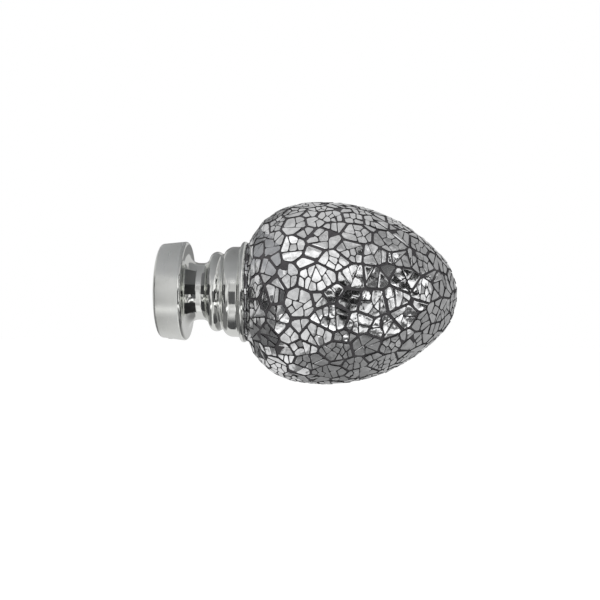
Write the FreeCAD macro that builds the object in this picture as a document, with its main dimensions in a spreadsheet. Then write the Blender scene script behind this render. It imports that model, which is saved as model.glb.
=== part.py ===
import FreeCAD, Part
import itertools
import math
import os
import random

import Sketcher
from FreeCAD import Vector

# Curtain pole finial: a mirror mosaic egg on a chromed neck whose cap slips over a pole's end.
# The origin is the centre of the socket's floor, where the pole's end stops. +X runs out along
# the pole's axis to the egg's tip, and +Z is up. Lengths are in millimetres, angles in degrees.

# Driving dimensions: alias, value, meaning
SIZES = [
    ("pole_diameter", "28.0", "outside diameter of the pole"),
    ("pole_clearance", "0.15", "radial play between pole and socket"),
    ("socket_depth", "7.2", "depth of the socket from mouth to floor"),
    ("mouth_wall", "2.3", "wall of the cap at its mouth"),
    ("mouth_chamfer", "0.5", "lead-in inside the mouth"),
    ("cap_flare", "1.05", "growth of the cap's radius from mouth to front"),
    ("cap_web", "2.1", "thickness of the cap between socket floor and front face"),
    ("cap_round", "1.0", "rounding of the cap's two outer edges"),
    ("root_round", "4.0", "hollow between the cap's front and the waist"),
    ("waist_inset", "4.15", "how far the waist lies inside the socket's wall"),
    ("waist_length", "1.3", "length of the neck's narrowest stretch"),
    ("throat_round", "2.6", "hollow between the waist and the bead"),
    ("bead_rise", "4.05", "height of the bead's crest above the waist"),
    ("bead_round", "2.5", "section radius of the bead"),
    ("cove_drop", "0.72", "depth of the cove below the bead's crest"),
    ("cove_round", "0.6", "hollow between the bead and the collar"),
    ("collar_rise", "1.85", "height of the collar above the bead's crest"),
    ("collar_round", "3.8", "section radius of the collar's shoulder"),
    ("band_length", "1.5", "length of the collar's flat band"),
    ("flange_hollow", "0.95", "hollow between the collar and the flange"),
    ("flange_rise", "1.85", "height of the flange's crest above the collar"),
    ("flange_round", "1.2", "section radius of the flange"),
    ("flange_lip", "0.4", "fall of the flange from its crest to the edge of the egg's seat"),
    ("foot_inset", "1.6", "how far the egg's foot stands inside the edge of its seat"),
    ("egg_radius", "32.1", "largest radius over the chips"),
    ("egg_widest", "26.9", "distance from the seat to the egg's widest place"),
    ("egg_side_round", "56.0", "outline radius along the egg's side"),
    ("egg_tip_round", "21.0", "outline radius at the egg's tip"),
    ("egg_shoulder_round", "22.0", "outline radius behind the widest place"),
    ("chip_thickness", "0.6", "thickness of a mirror chip"),
    ("chip_width", "5.1", "usual width of a chip"),
    ("chip_margin", "0.25", "gap between the chips and the flange"),
    ("tile_largest", "4.5", "half width of the largest mirror tiles"),
    ("tile_smallest", "1.8", "half width of the smallest mirror tiles"),
    ("grout_width", "0.45", "usual gap between neighbouring tiles"),
    ("crack_width", "0.25", "usual gap between the chips of one tile"),
    ("screw_radius", "3.0", "thread radius of the fixing screw"),
    ("screw_play", "0.3", "radial play of the fixing screw in the neck"),
    ("screw_reach", "13.0", "length of thread inside the egg"),
    ("thread_clearance", "0.05", "radial play between a thread and its tapped hole"),
    ("hole_spare", "2.0", "depth of the egg's hole beyond the screw's end"),
    ("head_radius", "5.0", "radius of the fixing screw's head"),
    ("head_height", "5.0", "height of the fixing screw's head"),
    ("head_play", "0.5", "radial play of the head in its counterbore"),
    ("head_sink", "1.0", "depth of the head below the socket's floor"),
    ("head_key", "5.0", "key size across the flats of the head's hexagon"),
    ("head_key_depth", "3.0", "depth of the head's hexagon"),
    ("grub_radius", "2.0", "thread radius of the grub screw"),
    ("grub_from_mouth", "4.4", "distance from the socket's mouth to the grub screw's axis"),
    ("grub_setback", "0.1", "how far the grub screw's ends stay inside the wall"),
    ("grub_key", "2.0", "key size across the flats of the grub screw's hexagon"),
    ("grub_key_depth", "1.4", "depth of the grub screw's hexagon"),
]

# The mosaic's layout: tiles offered a place, tries for each, and how much everything varies
MOSAIC_SEED = 11
TILES_OFFERED = 620
TRIES_PER_TILE = 40
SMALL_TILE_BIAS = 1.6
TILE_SPACING = 0.86
GAP_SPREAD = (0.6, 1.5)
CHIP_AREA_SPREAD = (0.5, 1.9)
BREAK_PLACE = (0.34, 0.66)
BREAK_SLANT = 32
NEIGHBOUR_REACH = 3
OUTLINE_STEPS = 240

# Two places are one within this distance
SAME_PLACE = 1e-6

# Points of a sketch element, and the sketch's own origin point
START, END, CENTRE = range(1, 4)
ORIGIN = (-1, 1)

doc = FreeCAD.newDocument("finial")
sheet = doc.addObject("Spreadsheet::Sheet", "Sizes")
for row, (alias, value, meaning) in enumerate(SIZES, start=1):
    sheet.set(f"A{row}", meaning)
    sheet.set(f"B{row}", value)
    sheet.setAlias(f"B{row}", alias)
doc.recompute()


def mm(expression):
    """The value of an expression in the sheet's names."""
    return float(sheet.evalExpression(expression))


def run_of(radii, rise):
    """Length along the axis of tangent arcs whose radii add up to the first, for a given rise."""
    return f"sqrt(({radii})^2 - ({radii} - ({rise}))^2)"


# Radii that follow from the driving dimensions
SOCKET_RADIUS = "(Sizes.pole_diameter / 2 + Sizes.pole_clearance)"
MOUTH_RADIUS = f"({SOCKET_RADIUS} + Sizes.mouth_wall)"
FRONT_RADIUS = f"({MOUTH_RADIUS} + Sizes.cap_flare)"
WAIST_RADIUS = f"({SOCKET_RADIUS} - Sizes.waist_inset)"
BEAD_RADIUS = f"({WAIST_RADIUS} + Sizes.bead_rise)"
COLLAR_RADIUS = f"({BEAD_RADIUS} + Sizes.collar_rise)"
FLANGE_RADIUS = f"({COLLAR_RADIUS} + Sizes.flange_rise)"
FOOT_RADIUS = f"({FLANGE_RADIUS} - Sizes.flange_lip - Sizes.foot_inset)"
CAP_LENGTH = "(Sizes.socket_depth + Sizes.cap_web)"
GRUB_WALL = f"(Sizes.mouth_wall + Sizes.cap_flare * Sizes.grub_from_mouth / {CAP_LENGTH})"

# Places along the axis, from the socket's floor
WAIST_END = "(Sizes.cap_web + Sizes.root_round + Sizes.waist_length)"
BEAD_X = f"({WAIST_END} + {run_of('Sizes.throat_round + Sizes.bead_round', 'Sizes.bead_rise')})"
COVE_X = f"({BEAD_X} + {run_of('Sizes.bead_round + Sizes.cove_round', 'Sizes.cove_drop')})"
COLLAR_RUN = run_of("Sizes.cove_round + Sizes.collar_round", "Sizes.cove_drop + Sizes.collar_rise")
COLLAR_X = f"({COVE_X} + {COLLAR_RUN})"
BAND_END = f"({COLLAR_X} + Sizes.band_length)"
FLANGE_X = f"({BAND_END} + {run_of('Sizes.flange_hollow + Sizes.flange_round', 'Sizes.flange_rise')})"
SEAT_X = f"({FLANGE_X} + {run_of('Sizes.flange_round', 'Sizes.flange_lip')})"
HEAD_SEAT_X = "(Sizes.head_sink + Sizes.head_height)"
GRUB_X = "(Sizes.grub_from_mouth - Sizes.socket_depth)"


def origin_plane(body, role):
    return next(feature for feature in body.Origin.OriginFeatures if feature.Role == role)


def new_body(label):
    body = doc.addObject("PartDesign::Body", label)
    body.Label = label
    return body


def new_sketch(body, role, name):
    sketch = body.newObject("Sketcher::SketchObject", name)
    sketch.AttachmentSupport = [(origin_plane(body, role), "")]
    sketch.MapMode = "FlatFace"
    return sketch


def dimension(sketch, name, expression, kind, *where):
    """Adds a dimension to a sketch and ties it to the sheet."""
    index = sketch.addConstraint(Sketcher.Constraint(kind, *where, mm(expression)))
    sketch.renameConstraint(index, name)
    sketch.setExpression("Constraints." + name, expression)


# Outline elements, each with the end where it is entered and the end where it is left

def line(start, end):
    return Part.LineSegment(Vector(*start), Vector(*end)), START, END


def arc(centre, radius, start, end):
    """Counter-clockwise arc from the start point to the end point."""
    first, last = (math.atan2(y - centre[1], x - centre[0]) for x, y in (start, end))
    if last < first:
        last += 2 * math.pi
    return Part.ArcOfCircle(Part.Circle(Vector(*centre), Vector(0, 0, 1), radius), first, last)


def hollow(centre, radius, start, end):
    """Concave arc, whose centre lies outside the metal."""
    return arc(centre, radius, start, end), START, END


def rounded(centre, radius, start, end):
    """Convex arc, whose centre lies inside the metal."""
    return arc(centre, radius, end, start), END, START


def between(first, second, share):
    """The point that lies a share of the way from the first point to the second."""
    return tuple(a + (b - a) * share for a, b in zip(first, second))


def meeting_point(first, second, first_reach, second_reach):
    """Point at given distances from two others, on the left going from the first to the second."""
    span = math.dist(first, second)
    along = (span ** 2 + first_reach ** 2 - second_reach ** 2) / (2 * span)
    aside = math.sqrt(first_reach ** 2 - along ** 2)
    unit = ((second[0] - first[0]) / span, (second[1] - first[1]) / span)
    return (first[0] + unit[0] * along - unit[1] * aside,
            first[1] + unit[1] * along + unit[0] * aside)


def add_outline(sketch, elements, smooth):
    """Adds named elements end to end as a closed loop; smooth names meet the one before in line."""
    index = {name: sketch.addGeometry(element[0]) for name, element in elements.items()}
    names = list(elements)
    for name, before in zip(names, names[-1:] + names[:-1]):
        kind = "Tangent" if name in smooth else "Coincident"
        left, entered = elements[before][2], elements[name][1]
        sketch.addConstraint(Sketcher.Constraint(kind, index[before], left, index[name], entered))
    return index


# Neck casting: cap, waist, bead, collar and flange in one chromed piece

def draw_neck_outline(sketch):
    """Half section of the solid neck, in the plane of its axis."""
    mouth = -mm("Sizes.socket_depth")
    front = mm("Sizes.cap_web")
    waist, bead = mm(WAIST_RADIUS), mm(BEAD_RADIUS)
    collar, flange = mm(COLLAR_RADIUS), mm(FLANGE_RADIUS)
    seat = mm(SEAT_X)
    root_r, throat_r = mm("Sizes.root_round"), mm("Sizes.throat_round")
    bead_r, cove_r = mm("Sizes.bead_round"), mm("Sizes.cove_round")
    ogee_r = mm("Sizes.collar_round")
    hollow_r, flange_r = mm("Sizes.flange_hollow"), mm("Sizes.flange_round")

    root_c = (front + root_r, waist + root_r)
    throat_c = (mm(WAIST_END), waist + throat_r)
    bead_c = (mm(BEAD_X), bead - bead_r)
    cove_c = (mm(COVE_X), bead - mm("Sizes.cove_drop") + cove_r)
    ogee_c = (mm(COLLAR_X), collar - ogee_r)
    hollow_c = (mm(BAND_END), collar + hollow_r)
    flange_c = (mm(FLANGE_X), flange - flange_r)

    axis_start = (mouth, 0)
    mouth_edge = (mouth, mm(MOUTH_RADIUS))
    front_edge = (front, mm(FRONT_RADIUS))
    root_top = (front, root_c[1])
    waist_start = (root_c[0], waist)
    waist_end = (throat_c[0], waist)
    bead_start = between(throat_c, bead_c, throat_r / (throat_r + bead_r))
    bead_end = between(bead_c, cove_c, bead_r / (bead_r + cove_r))
    ogee_start = between(cove_c, ogee_c, cove_r / (cove_r + ogee_r))
    band_start = (ogee_c[0], collar)
    band_end = (hollow_c[0], collar)
    flange_start = between(hollow_c, flange_c, hollow_r / (hollow_r + flange_r))
    flange_end = (seat, flange - mm("Sizes.flange_lip"))
    axis_end = (seat, 0)

    elements = {
        "mouth": line(axis_start, mouth_edge),
        "cap_side": line(mouth_edge, front_edge),
        "cap_front": line(front_edge, root_top),
        "root": hollow(root_c, root_r, root_top, waist_start),
        "waist": line(waist_start, waist_end),
        "throat": hollow(throat_c, throat_r, waist_end, bead_start),
        "bead": rounded(bead_c, bead_r, bead_start, bead_end),
        "cove": hollow(cove_c, cove_r, bead_end, ogee_start),
        "ogee": rounded(ogee_c, ogee_r, ogee_start, band_start),
        "band": line(band_start, band_end),
        "hollow": hollow(hollow_c, hollow_r, band_end, flange_start),
        "flange": rounded(flange_c, flange_r, flange_start, flange_end),
        "seat": line(flange_end, axis_end),
        "axis": line(axis_end, axis_start),
    }
    smooth = ("root", "waist", "throat", "bead", "cove", "ogee", "band", "hollow", "flange")
    at = add_outline(sketch, elements, smooth)

    for name in ("mouth", "cap_front", "seat"):
        sketch.addConstraint(Sketcher.Constraint("Vertical", at[name]))
    for name in ("waist", "band", "axis"):
        sketch.addConstraint(Sketcher.Constraint("Horizontal", at[name]))
    sketch.addConstraint(Sketcher.Constraint("PointOnObject", at["axis"], START, -1))

    radii = {
        "root": "root_round", "throat": "throat_round", "bead": "bead_round", "cove": "cove_round",
        "ogee": "collar_round", "hollow": "flange_hollow", "flange": "flange_round",
    }
    for name, alias in radii.items():
        dimension(sketch, alias, "Sizes." + alias, "Radius", at[name])

    dimension(sketch, "socket_depth", "Sizes.socket_depth", "DistanceX", at["mouth"], START, *ORIGIN)
    places = {
        "cap_web": ("Sizes.cap_web", "cap_front", START), "bead_x": (BEAD_X, "bead", CENTRE),
        "collar_x": (COLLAR_X, "ogee", CENTRE), "flange_x": (FLANGE_X, "flange", CENTRE),
        "seat_x": (SEAT_X, "seat", START),
    }
    for name, (expression, element, point) in places.items():
        dimension(sketch, name, expression, "DistanceX", *ORIGIN, at[element], point)
    heights = {
        "mouth_radius": (MOUTH_RADIUS, "cap_side", START), "front_radius": (FRONT_RADIUS, "cap_side", END),
        "waist_radius": (WAIST_RADIUS, "waist", START), "collar_radius": (COLLAR_RADIUS, "band", START),
        "bead_height": (BEAD_RADIUS + " - Sizes.bead_round", "bead", CENTRE),
        "flange_height": (FLANGE_RADIUS + " - Sizes.flange_round", "flange", CENTRE),
    }
    for name, (expression, element, point) in heights.items():
        dimension(sketch, name, expression, "DistanceY", *ORIGIN, at[element], point)


def cut_round(body, name, role, radius, reverse, depth=None, along=None):
    """Round pocket about an origin axis, or about a point set along the sketch's first axis."""
    sketch = new_sketch(body, role, name + "_circle")
    centre = Vector(0 if along is None else mm(along), 0, 0)
    circle = sketch.addGeometry(Part.Circle(centre, Vector(0, 0, 1), mm(radius)))
    dimension(sketch, "radius", radius, "Radius", circle)
    sketch.addConstraint(Sketcher.Constraint("PointOnObject", circle, CENTRE, -1))
    if along is None:
        sketch.addConstraint(Sketcher.Constraint("PointOnObject", circle, CENTRE, -2))
    else:
        dimension(sketch, "along", f"-({along})", "DistanceX", circle, CENTRE, *ORIGIN)
    before = body.Shape.Volume
    pocket = body.newObject("PartDesign::Pocket", name)
    pocket.Profile = sketch
    pocket.Reversed = reverse
    if depth is None:
        pocket.Type = "ThroughAll"
    else:
        pocket.setExpression("Length", depth)
    doc.recompute()
    if body.Shape.Volume >= before:
        raise RuntimeError(name + " removed nothing")
    return pocket


def rim_edges(shape, *rims):
    """Names of the circular edges about the X axis at the given (x, radius) pairs."""
    names = []
    for number, edge in enumerate(shape.Edges, start=1):
        curve = edge.Curve
        if not isinstance(curve, Part.Circle):
            continue
        for x, radius in rims:
            if math.dist((curve.Center.x, curve.Radius), (x, radius)) < SAME_PLACE:
                names.append(f"Edge{number}")
    return names


def dress_rims(body, kind, name, size_property, alias, *rims):
    """Rounds or chamfers circular edges of the body."""
    base = body.Tip
    feature = body.newObject(kind, name)
    feature.Base = (base, rim_edges(base.Shape, *rims))
    feature.setExpression(size_property, "Sizes." + alias)
    doc.recompute()


def make_neck():
    body = new_body("neck_casting")
    sketch = new_sketch(body, "XY_Plane", "neck_outline")
    draw_neck_outline(sketch)
    blank = body.newObject("PartDesign::Revolution", "turned_blank")
    blank.Profile = sketch
    blank.ReferenceAxis = (sketch, ["H_Axis"])
    blank.Angle = 360
    doc.recompute()

    mouth_x, front_x = -mm("Sizes.socket_depth"), mm("Sizes.cap_web")
    dress_rims(body, "PartDesign::Fillet", "cap_rims", "Radius", "cap_round",
               (mouth_x, mm(MOUTH_RADIUS)), (front_x, mm(FRONT_RADIUS)))
    cut_round(body, "pole_socket", "YZ_Plane", SOCKET_RADIUS, reverse=False)
    cut_round(body, "head_counterbore", "YZ_Plane", "Sizes.head_radius + Sizes.head_play",
              reverse=True, depth=HEAD_SEAT_X)
    cut_round(body, "screw_way", "YZ_Plane", "Sizes.screw_radius + Sizes.screw_play", reverse=True)
    cut_round(body, "grub_hole", "XY_Plane", "Sizes.grub_radius + Sizes.thread_clearance",
              reverse=False, along=GRUB_X)
    dress_rims(body, "PartDesign::Chamfer", "mouth_lead_in", "Size", "mouth_chamfer",
               (mouth_x, mm(SOCKET_RADIUS)))
    return body


# Screws: a rod, a head where there is one, and a hexagon for the key

ALONG_X = FreeCAD.Rotation(Vector(0, 1, 0), 90)


def cylinder(name, radius, height):
    rod = doc.addObject("Part::Cylinder", name)
    rod.setExpression("Radius", radius)
    rod.setExpression("Height", height)
    return rod


def key_hexagon(name, key, depth):
    hexagon = doc.addObject("Part::Prism", name)
    hexagon.Polygon = 6
    hexagon.setExpression("Circumradius", f"{key} / 2 / cos(30 deg)")
    hexagon.setExpression("Height", depth)
    return hexagon


def cut(label, base, tool):
    result = doc.addObject("Part::Cut", label)
    result.Base = base
    result.Tool = tool
    result.Label = label
    return result


def make_fixing_screw():
    """Cap screw through the neck into the egg, its head sunk below the socket's floor."""
    head = cylinder("fixing_head", "Sizes.head_radius", "Sizes.head_height")
    shank = cylinder("fixing_shank", "Sizes.screw_radius",
                     f"{SEAT_X} + Sizes.screw_reach - {HEAD_SEAT_X}")
    recess = key_hexagon("fixing_recess", "Sizes.head_key", "Sizes.head_key_depth")
    for piece, start in ((head, "Sizes.head_sink"), (shank, HEAD_SEAT_X), (recess, "Sizes.head_sink")):
        piece.Placement.Rotation = ALONG_X
        piece.setExpression("Placement.Base.x", start)
    whole = doc.addObject("Part::Fuse", "fixing_blank")
    whole.Base = head
    whole.Tool = shank
    return cut("fixing_screw", whole, recess)


def make_grub_screw():
    """Headless screw in the underside of the cap, which clamps the pole."""
    length = f"{GRUB_WALL} - 2 * Sizes.grub_setback"
    rod = cylinder("grub_rod", "Sizes.grub_radius", length)
    recess = key_hexagon("grub_recess", "Sizes.grub_key", "Sizes.grub_key_depth")
    outer_end = f"-({SOCKET_RADIUS} + {GRUB_WALL} - Sizes.grub_setback)"
    for piece in (rod, recess):
        piece.setExpression("Placement.Base.x", GRUB_X)
        piece.setExpression("Placement.Base.z", outer_end)
    return cut("grub_screw", rod, recess)


# The egg's outline over the chips: tip, side and shoulder arcs that meet in line

class EggOutline:
    def __init__(self):
        radius, side_r = mm("Sizes.egg_radius"), mm("Sizes.egg_side_round")
        tip_r, shoulder_r = mm("Sizes.egg_tip_round"), mm("Sizes.egg_shoulder_round")
        self.seat = mm(SEAT_X)
        foot = (self.seat, mm(FOOT_RADIUS))
        side_c = (self.seat + mm("Sizes.egg_widest"), radius - side_r)
        tip_x = side_c[0] + math.sqrt((side_r - tip_r) ** 2 - side_c[1] ** 2)
        shoulder_c = meeting_point(foot, side_c, shoulder_r, side_r - shoulder_r)
        self.tip_turn = math.atan2(-side_c[1], tip_x - side_c[0])
        self.shoulder_turn = math.atan2(shoulder_c[1] - side_c[1], shoulder_c[0] - side_c[0])
        self.seat_turn = math.atan2(foot[1] - shoulder_c[1], foot[0] - shoulder_c[0])
        self.tip_arc = ((tip_x, 0.0), tip_r)
        self.side_arc = (side_c, side_r)
        self.shoulder_arc = (shoulder_c, shoulder_r)

    def arc_at(self, turn):
        """Centre and radius of the arc whose outward normal makes this angle with +X."""
        if turn < self.tip_turn:
            return self.tip_arc
        if turn < self.shoulder_turn:
            return self.side_arc
        return self.shoulder_arc

    def point(self, turn):
        (x, r), radius = self.arc_at(turn)
        return x + radius * math.cos(turn), r + radius * math.sin(turn)

    def area_table(self):
        """Angles from tip to seat, each with the area of the egg up to it."""
        step = self.seat_turn / OUTLINE_STEPS
        table = [(0.0, 0.0)]
        for number in range(OUTLINE_STEPS):
            turn = (number + 0.5) * step
            band = 2 * math.pi * self.point(turn)[1] * self.arc_at(turn)[1] * step
            table.append(((number + 1) * step, table[-1][1] + band))
        return table


class Tile:
    """Flat of the egg that carries one tile, a chip's thickness below the outline."""

    def __init__(self, outline, turn, roll, half_width):
        x, r = outline.point(turn)
        slope = math.sin(turn)
        self.normal = Vector(math.cos(turn), slope * math.cos(roll), slope * math.sin(roll))
        self.half_width = half_width
        sink = half_width ** 2 / (2 * mm("Sizes.egg_radius")) + mm("Sizes.chip_thickness")
        self.middle = Vector(x, r * math.cos(roll), r * math.sin(roll)) - self.normal * sink
        self.distance = self.normal.dot(self.middle)

    def clear_of(self, other):
        room = TILE_SPACING * (self.half_width + other.half_width)
        return self.middle.distanceToPoint(other.middle) > room


def scatter_tiles(outline, rng):
    """Tiles of mixed sizes, large ones first, thrown over the egg evenly by area."""
    table = outline.area_table()
    whole_area = table[-1][1]
    smallest, largest = mm("Sizes.tile_smallest"), mm("Sizes.tile_largest")
    shares = sorted((rng.random() ** SMALL_TILE_BIAS for _ in range(TILES_OFFERED)), reverse=True)
    tiles = []
    for share in shares:
        half_width = smallest + (largest - smallest) * share
        for _ in range(TRIES_PER_TILE):
            area = rng.random() * whole_area
            turn = next(angle for angle, total in table if total >= area)
            turn -= rng.random() * outline.seat_turn / OUTLINE_STEPS
            tile = Tile(outline, max(turn, 0.0), rng.uniform(0, 2 * math.pi), half_width)
            if all(tile.clear_of(other) for other in tiles):
                tiles.append(tile)
                break
    return tiles


def clip(polygon, normal, distance):
    """Part of a convex polygon on the inner side of a plane."""
    kept = []
    for point, following in zip(polygon, polygon[1:] + polygon[:1]):
        here, there = normal.dot(point) - distance, normal.dot(following) - distance
        if here <= 0:
            kept.append(point)
        if here * there < 0:
            kept.append(point + (following - point) * (here / (here - there)))
    return kept


def square(middle, normal, reach):
    """Large square in a plane, to be cut down to a flat."""
    axis = min((Vector(0, 1, 0), Vector(0, 0, 1)), key=lambda one: abs(one.dot(normal)))
    side = normal.cross(axis).normalize() * reach
    up = normal.cross(side)
    return [middle + side + up, middle - side + up, middle - side - up, middle + side - up]


def flat_of(tile, tiles, seat, reach):
    """Outline of a tile's flat, where the flats around it and the seat cut it."""
    polygon = square(tile.middle, tile.normal, reach)
    for other in tiles:
        if other is not tile and other.middle.distanceToPoint(tile.middle) < 2 * reach:
            polygon = clip(polygon, other.normal, other.distance)
    return clip(polygon, Vector(-1, 0, 0), -seat)


def inset(polygon, normal, gap):
    """Polygon whose sides stand in from the given one by a gap."""
    result = polygon
    for point, following in zip(polygon, polygon[1:] + polygon[:1]):
        outwards = (following - point).cross(normal).normalize()
        result = clip(result, outwards, outwards.dot(point) - gap)
    return result


def polygon_area(polygon):
    total = Vector()
    for point, following in zip(polygon[1:], polygon[2:]):
        total += (point - polygon[0]).cross(following - polygon[0])
    return total.Length / 2


def shatter(polygon, normal, usual_area, rng):
    """Breaks a tile across its longest span until its chips are small enough."""
    if polygon_area(polygon) < usual_area * rng.uniform(*CHIP_AREA_SPREAD):
        return [polygon]
    spans = [(b - a).Length for a, b in itertools.combinations(polygon, 2)]
    start, end = list(itertools.combinations(polygon, 2))[spans.index(max(spans))]
    place = start + (end - start) * rng.uniform(*BREAK_PLACE)
    slant = FreeCAD.Rotation(normal, rng.uniform(-BREAK_SLANT, BREAK_SLANT))
    across = slant.multVec(end - start).normalize()
    halves = (clip(polygon, across, across.dot(place)), clip(polygon, -across, -across.dot(place)))
    return [chip for half in halves for chip in shatter(half, normal, usual_area, rng)]


def face_of(polygon):
    return Part.Face(Part.makePolygon(polygon + polygon[:1]))


def make_egg():
    """Dressed egg, and the chips of its broken mirror tiles bonded to its flats."""
    outline = EggOutline()
    rng = random.Random(MOSAIC_SEED)
    tiles = scatter_tiles(outline, rng)
    half_grout, half_crack = mm("Sizes.grout_width") / 2, mm("Sizes.crack_width") / 2
    usual_area = mm("Sizes.chip_width") ** 2
    least_area = mm("Sizes.chip_thickness") * mm("Sizes.chip_width")
    first_chip_x = outline.seat + mm("Sizes.chip_margin")
    backwards = Vector(-1, 0, 0)
    reach = NEIGHBOUR_REACH * mm("Sizes.tile_largest")

    flats, chips = [], []
    for tile in tiles:
        flat = flat_of(tile, tiles, outline.seat, reach)
        if len(flat) < 3:
            continue
        flats.append(face_of(flat))
        rise = tile.normal * mm("Sizes.chip_thickness")
        top = [point + rise for point in inset(flat, tile.normal, half_grout * rng.uniform(*GAP_SPREAD))]
        top = clip(top, backwards, -first_chip_x)
        if len(top) < 3:
            continue
        for chip in shatter(top, tile.normal, usual_area, rng):
            chip = inset(chip, tile.normal, half_crack * rng.uniform(*GAP_SPREAD))
            if len(chip) > 2 and polygon_area(chip) > least_area:
                chips.append(face_of(chip).extrude(-rise))

    base = square(Vector(outline.seat, 0, 0), backwards, mm("Sizes.egg_radius"))
    for tile in tiles:
        base = clip(base, tile.normal, tile.distance)
    flats.append(face_of(base))
    skin = Part.Compound(flats)
    skin.sewShape()

    dressed = doc.addObject("Part::Feature", "dressed_egg")
    dressed.Shape = Part.Solid(skin.Shells[0])
    hole = cylinder("egg_hole", "Sizes.screw_radius + Sizes.thread_clearance",
                    "Sizes.screw_reach + Sizes.hole_spare")
    hole.Placement.Rotation = ALONG_X
    hole.setExpression("Placement.Base.x", SEAT_X)
    egg = cut("egg_body", dressed, hole)

    mosaic = doc.addObject("Part::Feature", "mirror_chips")
    mosaic.Shape = Part.Compound(chips)
    mosaic.Label = "mirror_chips"
    print(len(flats) - 1, "tiles,", len(chips), "chips")
    return egg, mosaic


def write_parts(parts):
    doc.recompute()
    for item in doc.Objects:
        if {"Invalid", "Error"} & set(item.State):
            raise RuntimeError(f"{item.Label} failed: {item.State}")
    for part in parts:
        if part.Shape.isNull() or not part.Shape.isValid():
            raise RuntimeError(part.Label + " has no valid shape")
    os.makedirs("parts", exist_ok=True)
    for part in parts:
        part.Shape.exportStep(f"parts/{part.Label}.step")
        box = part.Shape.BoundBox
        print(f"{part.Label}: {len(part.Shape.Solids)} solids, {part.Shape.Volume:.1f} mm3, "
              f"x {box.XMin:.2f} to {box.XMax:.2f}")


write_parts([make_neck(), make_fixing_screw(), make_grub_screw(), *make_egg()])
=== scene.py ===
"""Visual model of a curtain pole finial: a chrome neck that carries an egg of broken mirror."""

import math
import random

import bmesh
import bpy
from mathutils import Matrix, Vector, noise
from mathutils.geometry import delaunay_2d_cdt


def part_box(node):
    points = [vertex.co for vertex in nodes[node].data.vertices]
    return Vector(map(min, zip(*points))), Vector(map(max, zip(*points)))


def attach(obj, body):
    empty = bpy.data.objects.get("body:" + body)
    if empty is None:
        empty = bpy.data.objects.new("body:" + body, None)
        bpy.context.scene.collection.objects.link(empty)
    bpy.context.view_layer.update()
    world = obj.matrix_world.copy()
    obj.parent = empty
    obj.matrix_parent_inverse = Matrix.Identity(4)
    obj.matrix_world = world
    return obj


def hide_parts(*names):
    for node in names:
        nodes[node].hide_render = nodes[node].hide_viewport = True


MM = 0.001

# The view
CAMERA_PLACE = Vector((41.5, -233.5, -2.5)) * MM
CAMERA_LENS = 39.6
CAMERA_SENSOR = 36.0
CAMERA_ROLL = math.radians(0.95)
CAMERA_CLIP = (0.01, 20.0)

# Colours, from dark to pale, and roughness, from smooth to rough
CHROME_COLOURS = ((0.81, 0.82, 0.79), (0.87, 0.875, 0.85))
CHROME_ROUGH = (0.07, 0.11)
SATIN_ROUGH = (0.27, 0.36)
SOCKET_ROUGH = 0.42
STEEL_COLOURS = ((0.36, 0.35, 0.34), (0.56, 0.55, 0.53))
STEEL_ROUGH = (0.26, 0.45)
GROUT_COLOURS = ((0.036, 0.034, 0.037), (0.074, 0.070, 0.074))
GROUT_FINISH = (0.65, 0.9)
MIRROR_COLOURS = ((0.20, 0.20, 0.205), (0.97, 0.975, 0.98))
MIRROR_ROUGH = (0.07, 0.17)
MIRROR_VEIL = (-0.20, 0.07)
GROUT_GLOSS = 0.3

# The finishes' patterns: the ranges of noise that they use, and sizes and depths in millimetres
NOISE_SPAN = (0.3, 0.7)
SMUDGE_SPAN = (0.35, 0.75)
SMUDGE_SIZE = 5.0
GROOVE_PITCH = 0.16
GROOVE_STRETCH = 0.02
GROOVE_DEPTH = 0.006
STEEL_SIZE = 0.7
STEEL_DEPTH = 0.01
CLOUD_SIZE = 6.0
SAND_SPAN = (0.35, 0.65)
SAND_SIZE = 0.35
SAND_DEPTH = 0.05
VEIL_SPAN = (0.34, 0.62)
VEIL_SIZE = 2.2
GLASS_SIZE = 1.5
GLASS_DEPTH = 0.05

# The mosaic, in millimetres and square millimetres
MOSAIC_SEED = 23
SAME_POINT = 0.002
EGG_MIDDLE = Vector((50.0, 0.0, 0.0))
OUTWARD = 0.7
POLE_AXIS = Vector((1.0, 0.0, 0.0))
TIP_SLOPE = 0.05
SHARD_DEPTH = 0.5
SHARD_AREA = (4.0, 10.0)
SEED_MARGIN = 0.6
EVENING_ROUNDS = 3
STRETCH = (1.0, 1.8)
CRACK = (0.12, 0.28)
SMALLEST_SIDE = 0.12
SLIVER_SHARE = 0.3
NO_LENGTH = 1e-6
TRIES_PER_POINT = 12
LOST_SHARE = 0.012
LOST_AREA = 4.0
GROWTH = 0.08
CORNER_SHARE = (0.07, 0.25)
LONGEST_CUT = 0.6
BEVEL = 0.09
BEVEL_DROP = 0.09
CHIP_TONE = (0.82, 1.0)
TONE_SPREAD = 0.08
EDGE_TONE = 0.06
LEAN = 0.055
DOME = (-0.008, 0.030)
DENT_SPACING = 0.55
DENT_MARGIN = 0.3 * DENT_SPACING
DENT_APART = 0.7 * DENT_SPACING
CRINKLED_SHARE = 0.5
CRINKLE_DEPTH = 0.16
CRINKLE_WAVE = 0.95
RIPPLE_DEPTH = 0.06
RIPPLE_WAVE = 2.6
NOISE_REACH = 99.0
SHARP_ANGLE = math.radians(32.0)

# How the triangulation treats its outline, and which points it takes as one
ONLY_INSIDE = 1
TRIANGLE_NEAR = 1e-5

# The row of small shards round the egg's foot, in millimetres: its back and front edges are each a distance
# from the egg's seat and a radius
FOOT_COUNT = 27
FOOT_GAP = 0.3
FOOT_DEPTH = 0.2
FOOT_BACK = (0.14, 17.4)
FOOT_FRONT = (0.92, 17.72)
FOOT_WANDER = 0.25
FOOT_TONE = (0.7, 1.0)

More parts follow.
